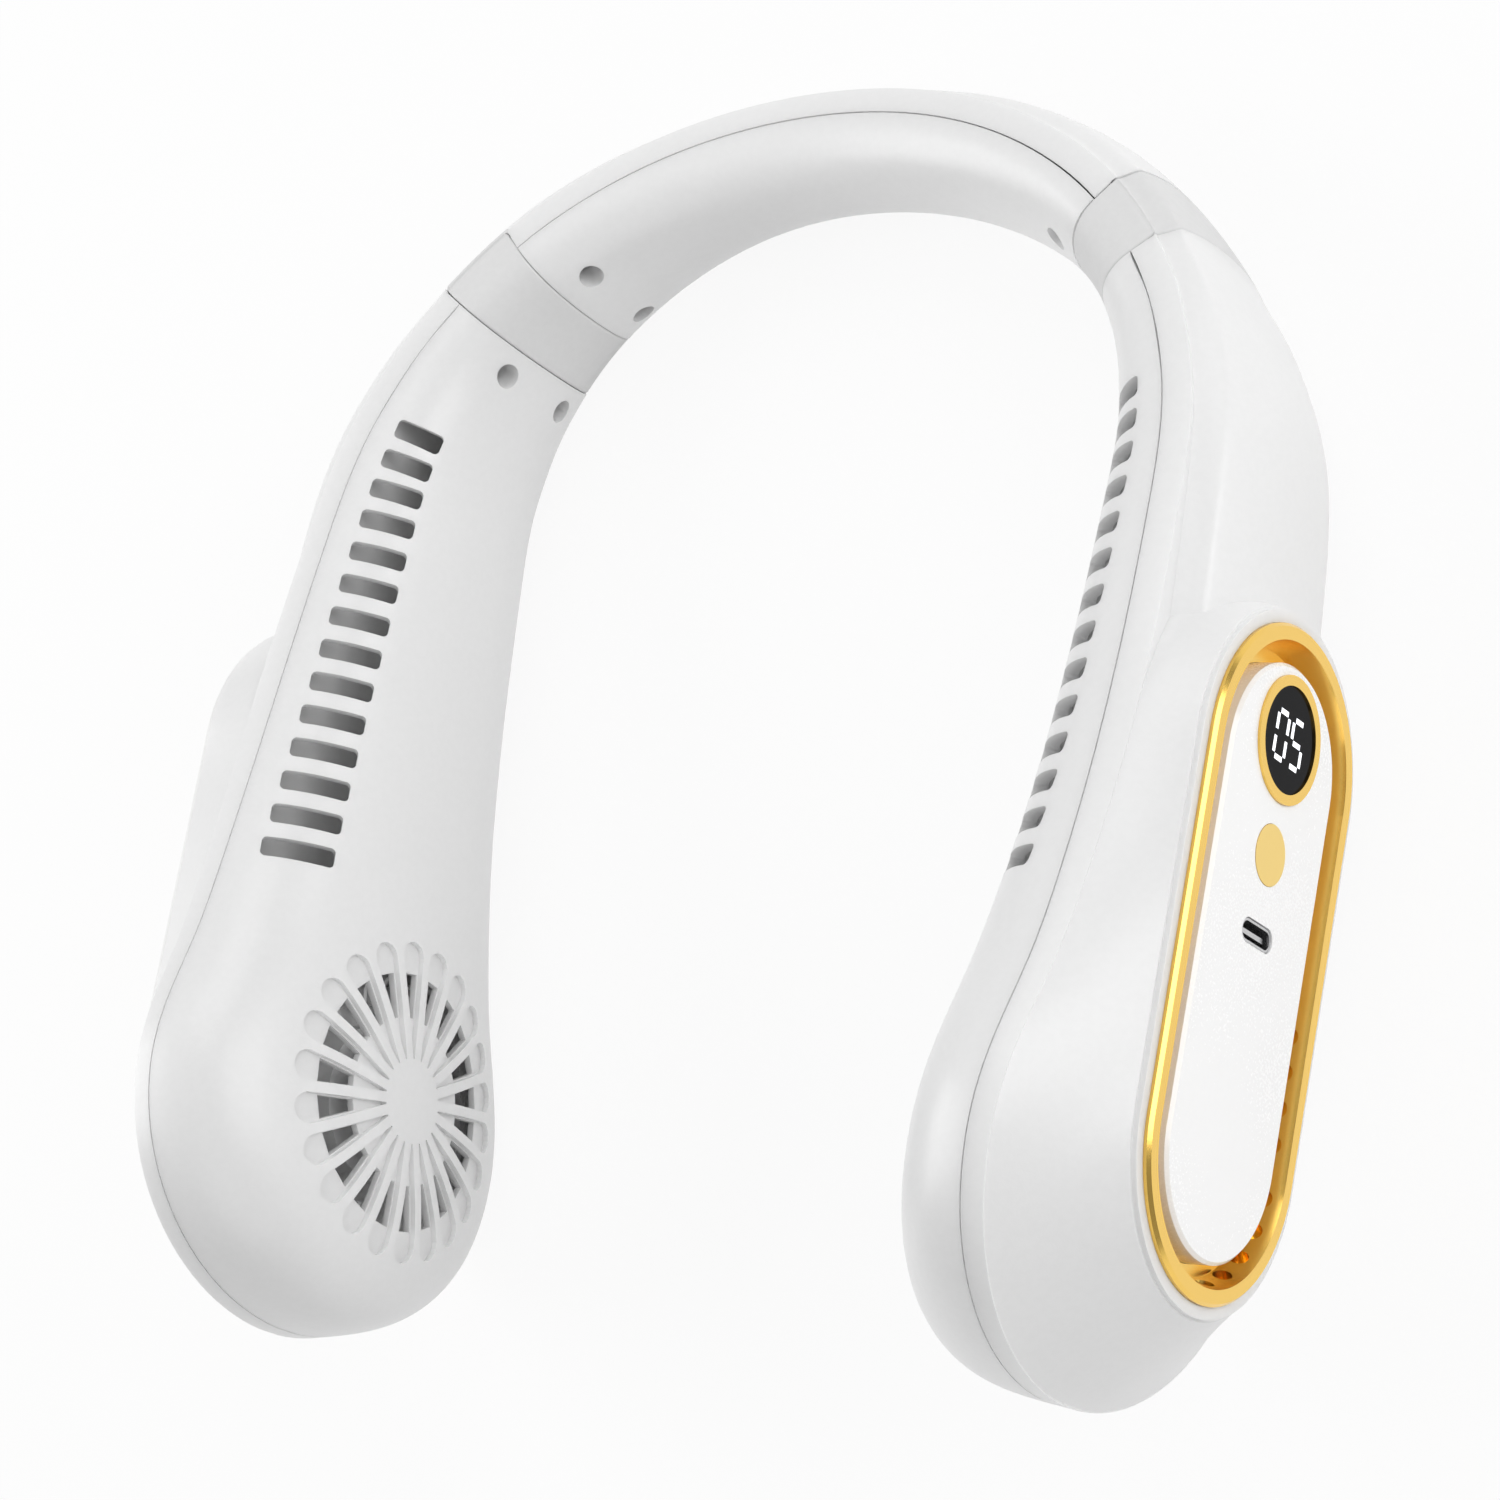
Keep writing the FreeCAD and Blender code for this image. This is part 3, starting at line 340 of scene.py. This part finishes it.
LIGHT_DEPTH = 0.003
white_shell = moulded("shell_satin_white", (0.84, 0.84, 0.84), 0.34, 0.25, Subsurface_Weight=0.4,
                      Subsurface_Radius=(1.0, 1.0, 1.0), Subsurface_Scale=LIGHT_DEPTH)
white_panel = moulded("panel_gloss_white", (0.97, 0.97, 0.97), 0.26, 0.04, 0.985, Coat_Weight=0.4,
                      Coat_Roughness=0.08)
sleeve_rubber = moulded("sleeve_silicone", (0.73, 0.73, 0.73), 0.58, 0.45, 0.95, 1700.0)
dress(both("arm_inner_cover", "arm_outer_cover") + ["band_inner_cover", "band_outer_cover"],
      white_shell)
dress(both("centre_panel"), white_panel)
print("white finishes:", white_shell.name, white_panel.name, sleeve_rubber.name)

# %% [markdown]
# ## Gold trim
# The racetrack ring, the display's bezel and the button are plated plastic. Plating keeps the
# mould's faint waviness and has a fine haze from polishing, so the reflection is clear but not a
# mirror. The button has a satin plating: a higher roughness does that. Screws and shafts are bare
# steel, which the same formula gives with a grey colour.

# %% Plated finishes
WAVE_SCALE, HAZE_SCALE, WAVE_HEIGHT = 60.0, 4200.0, 0.0001
WAVE_SHARE, HAZE_SHARE = 0.8, 0.2
WAVE_GLOSS, HAZE_GLOSS = 0.08, 0.06
PLATING_LOW = 0.94


def plated(name, colour, rough, wave=0.12):
    """Bright plating: metal whose gloss wanders, with slow waves and a fine haze in the normal."""
    material, shader, place = finish(name, Metallic=1.0)
    slow, fine = noise(place, WAVE_SCALE, 2.0), noise(place, HAZE_SCALE, 1.0)
    feed(shader, Base_Color=slow.tint(shade(colour, PLATING_LOW), shade(colour, 1.0)),
         Roughness=(slow - 0.5) * WAVE_GLOSS + (fine - 0.5) * HAZE_GLOSS + rough,
         Normal=bumped(slow * WAVE_SHARE + fine * HAZE_SHARE, wave, WAVE_HEIGHT))
    return material


gold = plated("trim_plated_gold", (0.96, 0.63, 0.15), 0.23)
satin_gold = plated("button_satin_gold", (0.98, 0.73, 0.26), 0.42, 0.2)
steel = plated("screw_bright_steel", (0.60, 0.60, 0.61), 0.28)
dress(both("trim_ring") + ["display_bezel"], gold)
dress(["power_button"], satin_gold)
dress(both("arm_screws", "shaft", "rotor_bell", "hinge_pin") + ["band_screws", "usb_port"], steel)
print("plated finishes:", gold.name, satin_gold.name, steel.name)

# %% [markdown]
# ## Display
# The lens is a tinted disc with a polished face. The segments glow, a little unevenly, as a light
# guide over small lamps does: slow noise moves their colour between white and a cool white.

# %% Lens and digits
black_lens = moulded("lens_polished_black", (0.004, 0.004, 0.005), 0.1, 0.0, 0.6,
                     Specular_IOR_Level=0.05)
dark_module = moulded("module_dark", (0.03, 0.03, 0.03), 0.5, 0.1)
digit_glow, digit_shader, digit_place = finish("digit_lit_white", Roughness=0.4,
                                               Emission_Strength=0.9)
GLOW_SCALE = 700.0
glow_tone = noise(digit_place, GLOW_SCALE).step(0.3, 0.7)
feed(digit_shader, Base_Color=glow_tone.tint([0.8, 0.82, 0.86, 1.0], [0.9, 0.9, 0.9, 1.0]),
     Emission_Color=glow_tone.tint([0.86, 0.90, 1.0, 1.0], [1.0, 1.0, 1.0, 1.0]))
dress(["display_lens"], black_lens)
dress(["display_segments"], digit_glow)
dress(["display_module", "power_switch"], dark_module)
print("display finishes:", black_lens.name, digit_glow.name, dark_module.name)

# %% [markdown]
# ## Inside
# Through the vents and the grille one sees the walls and the blower's wheel. Both get a near-white
# colour, whiter than the shell, as painted light that lifts the shade deep inside the duct. The
# rest stays hidden when the fan is whole, but each piece still gets the finish of what it is: dull
# foil on the cells, enamelled copper on the stators, sintered bronze, green board and dark nylon.

# %% Finishes of the inner pieces
# Painted light: the walls and the wheel are near white so that the shaded interior reads lighter.
wall_painted_light = moulded("inner_wall_painted_light", (0.95, 0.95, 0.95), 0.5, 0.2)
wheel_painted_light = moulded("impeller_painted_light", (0.95, 0.95, 0.95), 0.45, 0.2)
dark_nylon = moulded("hinge_dark_nylon", (0.10, 0.10, 0.11), 0.5, 0.3)
dark_magnet = moulded("magnet_dark", (0.05, 0.05, 0.055), 0.4, 0.3)
black_lead = moulded("lead_black", (0.02, 0.02, 0.02), 0.45, 0.2)
green_board = moulded("board_green", (0.02, 0.16, 0.06), 0.35, 0.1)
foil_cell = plated("cell_dull_foil", (0.62, 0.63, 0.66), 0.45, 0.5)
copper = plated("stator_enamelled_copper", (0.72, 0.36, 0.16), 0.35, 0.5)
bronze = plated("bearing_sintered_bronze", (0.62, 0.43, 0.20), 0.4, 0.4)
dress(both("divider", "motor_mount"), wall_painted_light)
dress(both("impeller"), wheel_painted_light)
dress(both("hinge_fork", "hinge_tongue"), dark_nylon)
dress(both("rotor_magnet"), dark_magnet)
dress(["band_lead"], black_lead)
dress(["main_board"], green_board)
dress(both("battery"), foil_cell)
dress(both("stator"), copper)
dress(both("bearing"), bronze)
print("nodes without a finish:", [n for n, o in nodes.items() if not o.data.materials])

# %% [markdown]
# ## Soft sleeves
# A silicone sleeve covers each hinge. It has the section of the arm, rounded towards the neck,
# with a narrow strip, a soft crease and a low crown on the outer side, and its ends roll inward,
# which leaves the fine seam seen on the real fan. The section is a closed curve of two
# parameters, so numpy carries it along the line as one grid.

# %% The section along the line
PADDLE_SPAN = PADDLE_REACH - ARM_START
HEIGHTS = [(0.0, 10.4), (BAND_REACH, 15.0), (ARM_START + 0.3 * PADDLE_SPAN, 20.9),
           (ARM_START + 0.6 * PADDLE_SPAN, 26.0)]
DEPTHS = [(0.0, 10.8), (BAND_REACH, 9.4), (ARM_START + 0.3 * PADDLE_SPAN, 14.3),
          (ARM_START + 0.6 * PADDLE_SPAN, 16.8)]
STRIPS = [(0.0, 4.0), (BAND_REACH, 4.4), (ARM_START + 0.5 * PADDLE_SPAN, 4.6)]
RISES = [(0.0, 5.2), (BAND_REACH, 9.2), (ARM_START, 9.2), (ARM_START + 0.25 * PADDLE_SPAN, 13.0)]
FLANKS = [(0.0, 0.25), (BAND_REACH, 2.08), (ARM_START + 0.15 * PADDLE_SPAN, 2.6)]
INNER_POWER, CREASE_SHARE, RIDGE_SHARE, SPINE_HALF = 2.3, 0.985, 0.98, 20.0
FLANK_WIDTH, FLANK_SHARE, CROWN_POWER = 3.0, 0.4, 2.2
STRIP_STEPS, TINY = 6, 1e-9


def smooth_curve(stations, s):
    """Cubic pieces through the stations with harmonic slopes, so that it never overshoots."""
    x, y = np.array(stations).T
    rate = np.diff(y) / np.diff(x)
    product, total = rate[:-1] * rate[1:], rate[:-1] + rate[1:]
    slope = np.zeros_like(y)
    slope[1:-1] = np.where(product > 0, 2 * product / np.where(total == 0, 1, total), 0)
    i = np.clip(np.searchsorted(x, s) - 1, 0, len(x) - 2)
    w = x[i + 1] - x[i]
    f = (s - x[i]) / w
    return ((2 * f**3 - 3 * f**2 + 1) * y[i] + (f**3 - 2 * f**2 + f) * w * slope[i]
            + (3 * f**2 - 2 * f**3) * y[i + 1] + (f**3 - f**2) * w * slope[i + 1])


def eased(f):
    """Smooth rise from 0 to 1."""
    f = np.clip(f, 0.0, 1.0)
    return f * f * (3 - 2 * f)


def section(s, per_side=24):
    """Closed section at path lengths s: outward n and height z, with the corners in fixed columns.

    Inner half: z = h sin^(2/p) and n = -b cos^(2/p). Outer half: a strip up to the crease, then a
    flank of smooth rise and a crown that falls as 1 - (z / w)^2.2, where w is the half width of
    the ridge: nearly h on a narrow section, and held softly below SPINE_HALF on a wide one.
    """
    h, b = smooth_curve(HEIGHTS, s)[:, None], smooth_curve(DEPTHS, s)[:, None]
    e, r = smooth_curve(STRIPS, s)[:, None], smooth_curve(RISES, s)[:, None]
    a = np.linspace(-math.pi / 2, math.pi / 2, 2 * per_side + 1)[None, :]
    power = 2 / INNER_POWER
    inner_z = h * np.sign(a) * np.abs(np.sin(a)) ** power
    inner_n = -b * np.abs(np.cos(a)) ** power
    crease = CREASE_SHARE * h
    ridge = RIDGE_SHARE * h
    w = ridge - np.log1p(np.exp(ridge - SPINE_HALF))
    flank = smooth_curve(FLANKS, s)[:, None]
    outer_z = crease * np.cos(np.linspace(0, math.pi, 3 * per_side + 1))[None, :]
    size = np.abs(outer_z)
    outer_n = (e + flank * eased((w - size) / np.minimum(FLANK_WIDTH, FLANK_SHARE * w))
               + (r - e - flank) * np.clip(1 - (size / w) ** CROWN_POWER, 0, None))
    up = np.linspace(0, 1, STRIP_STEPS)[None, 1:-1]
    side_n, side_z = e * up, h + (crease - h) * up
    n = np.hstack([inner_n, side_n, outer_n, side_n[:, ::-1]])
    z = np.hstack([inner_z, side_z, outer_z, -side_z[:, ::-1]])
    return n, z


def drawn_in(n, z, inset):
    """The section moved along its own inward normal by inset, row by row."""
    dn = np.roll(n, -1, 1) - np.roll(n, 1, 1)
    dz = np.roll(z, -1, 1) - np.roll(z, 1, 1)
    size = np.hypot(dn, dz) + TINY
    return n + inset[:, None] * dz / size, z - inset[:, None] * dn / size


rows = np.array([BAND_REACH + 1.0, ARM_START - 1.0])
print("section corners at the sleeve:", [c[:, 0].round(2).tolist() for c in section(rows)])

# %% The two sleeves
END_GAP, END_ROLL, SLEEVE_SKIN = 0.08, 0.55, 1.25


def sleeve_profile(runs=26, roll=7, back=8):
    """Closed loop in path length and inset: along the outside, round one end, back inside.

    Each end is a quarter circle: s runs on by END_ROLL sin a, the inset is END_ROLL (1 - cos a).
    """
    first, last = BAND_REACH + END_GAP, ARM_START - END_GAP
    a = np.linspace(0, math.pi / 2, roll)
    out_s = np.linspace(first + END_ROLL, last - END_ROLL, runs)
    far_s, far_in = last - END_ROLL + END_ROLL * np.sin(a), END_ROLL * (1 - np.cos(a))
    near_s, near_in = (first + last) - far_s[::-1], far_in[::-1]
    back_s = np.linspace(last, first, back)
    s = np.concatenate([out_s, far_s[1:], back_s, near_s[:-1]])
    inset = np.concatenate([np.zeros(runs), far_in[1:], np.full(back, SLEEVE_SKIN), near_in[:-1]])
    return s, inset


def grid_faces(rows, columns):
    """Quads of a grid that closes both ways."""
    i, j = np.meshgrid(np.arange(rows), np.arange(columns), indexing="ij")
    down, right = (i + 1) % rows, (j + 1) % columns
    return np.stack([i * columns + j, down * columns + j, down * columns + right,
                     i * columns + right], -1).reshape(-1, 4)


def mesh_piece(name, points, faces, material):
    """A smooth-shaded object at the origin from arrays of points and quads."""
    data = bpy.data.meshes.new(name)
    data.from_pydata(points.tolist(), [], faces.tolist())
    data.polygons.foreach_set("use_smooth", np.ones(len(faces), bool))
    data.materials.append(material)
    data.update()
    piece = bpy.data.objects.new(name, data)
    bpy.context.scene.collection.objects.link(piece)
    return piece


def enclosed(points, faces):
    """Signed volume: the sum of corner . (corner x corner) / 6 over both triangles of each quad."""
    a, b, c, d = (points[faces[:, k]] for k in range(4))
    return float((a * (np.cross(b, c) + np.cross(c, d))).sum() / 6)


def line_points(s, n, z, mirror=1.0):
    """Working points at path length s, n outward and z across, taken to the table."""
    x, y, turn = along(s)
    return to_table(np.stack(np.broadcast_arrays(
        mirror * (x + n * np.sin(turn)), y + n * np.cos(turn), z), -1).reshape(-1, 3))


profile_s, profile_in = sleeve_profile()
ring_n, ring_z = drawn_in(*section(profile_s), profile_in)
loops = grid_faces(*ring_n.shape)
for side, mirror in (("left", -1.0), ("right", 1.0)):
    quads = loops if mirror > 0 else loops[:, ::-1]
    points = line_points(profile_s[:, None], ring_n, ring_z, mirror)
    sleeve = mesh_piece(side + "_soft_sleeve", points, quads, sleeve_rubber)
    ends = [line_points(np.array([s]), 0.0, 0.0, mirror)[0].tolist()
            for s in (BAND_REACH, ARM_START)]
    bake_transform(sleeve)
    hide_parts(side + "_sleeve")
    print(sleeve.name, len(sleeve.data.polygons), "quads, volume in cubic mm:",
          round(enclosed(points, quads) / MM**3, 1))

# %% [markdown]
# ## View transform
# The picture's colours go out through Blender's plain Standard view transform.

# %% View transform
bpy.context.scene.view_settings.view_transform = "Standard"
